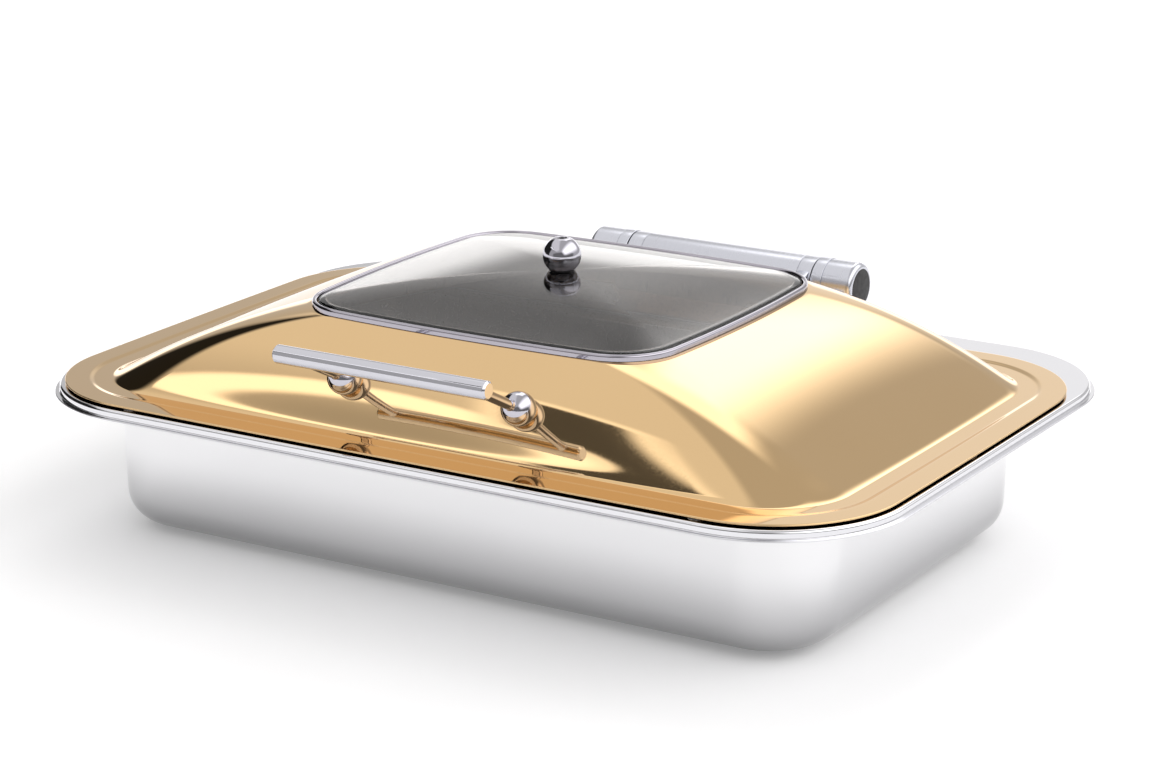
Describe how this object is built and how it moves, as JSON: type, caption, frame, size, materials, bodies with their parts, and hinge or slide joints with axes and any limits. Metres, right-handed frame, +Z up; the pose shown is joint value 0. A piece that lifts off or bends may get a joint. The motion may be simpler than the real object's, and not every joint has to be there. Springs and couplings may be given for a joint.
{
  "type": "roll top chafer",
  "caption": "Rectangular roll top chafing dish: deep steel water pan, lift-out food pan and a gold domed lid with glass window, bar handle and damped rear hinge.",
  "frame": {"origin": "on the table, under the middle of the object's overall box", "axes": "+X to the object's right seen from the handle side, +Y towards the hinge at the back, +Z up"},
  "size_m": [0.5924, 0.4381, 0.1912],
  "materials": {
    "gold_steel": "stainless sheet, mirror polished, with a gold titanium coating",
    "mirror_steel": "mirror polished stainless steel",
    "satin_steel": "satin stainless steel, turned finish",
    "plain_steel": "plain stainless steel",
    "base_steel": "ground ferritic steel over an aluminium core",
    "tempered_glass": "clear tempered glass",
    "black_silicone": "matte black silicone",
    "clear_silicone": "translucent silicone",
    "black_nylon": "black nylon, smooth",
    "bronze": "sintered bronze"
  },
  "bodies": {
    "base": {"induction_base": "base_steel", "water_pan": "mirror_steel", "top_frame": "mirror_steel", "hinge_backing_plate": "plain_steel", "hinge_bracket_left": "satin_steel", "hinge_bracket_right": "satin_steel", "hinge_bracket_screws": "plain_steel", "hinge_housing_left": "satin_steel", "hinge_housing_right": "satin_steel", "hinge_end_cap_left": "black_nylon", "hinge_end_cap_right": "black_nylon", "hinge_collar_left": "satin_steel", "hinge_collar_right": "satin_steel", "thrust_washers": "black_nylon", "hinge_shaft": "plain_steel"},
    "lid": {"lid_shell": "gold_steel", "window_glass": "tempered_glass", "window_gasket": "black_silicone", "window_trim": "mirror_steel", "knob_ball": "mirror_steel", "knob_washers": "black_silicone", "knob_bolt": "plain_steel", "knob_nut": "plain_steel", "handle_bar": "mirror_steel", "handle_post_left": "mirror_steel", "handle_post_right": "mirror_steel", "handle_ball_left": "mirror_steel", "handle_ball_right": "mirror_steel", "handle_washers": "plain_steel", "handle_screws": "plain_steel", "hinge_barrel": "satin_steel", "hinge_arm_left": "satin_steel", "hinge_arm_right": "satin_steel", "arm_backing_plates": "plain_steel", "arm_screws": "plain_steel", "damper_left": "plain_steel", "damper_right": "plain_steel", "barrel_bushes": "bronze", "lid_bumpers": "clear_silicone"},
    "food_pan": {"food_pan": "mirror_steel"}
  },
  "joints": [
    {"name": "lid_hinge", "type": "hinge", "parent": "base", "child": "lid", "pos_m": [0, 0.20185, 0.123], "axis": [-1, 0, 0], "range_deg": [0, 90]},
    {"name": "food_pan_lift", "type": "slide", "parent": "base", "child": "food_pan", "axis": [0, 0, 1], "range_m": [0, 0.0015]}
  ]
}
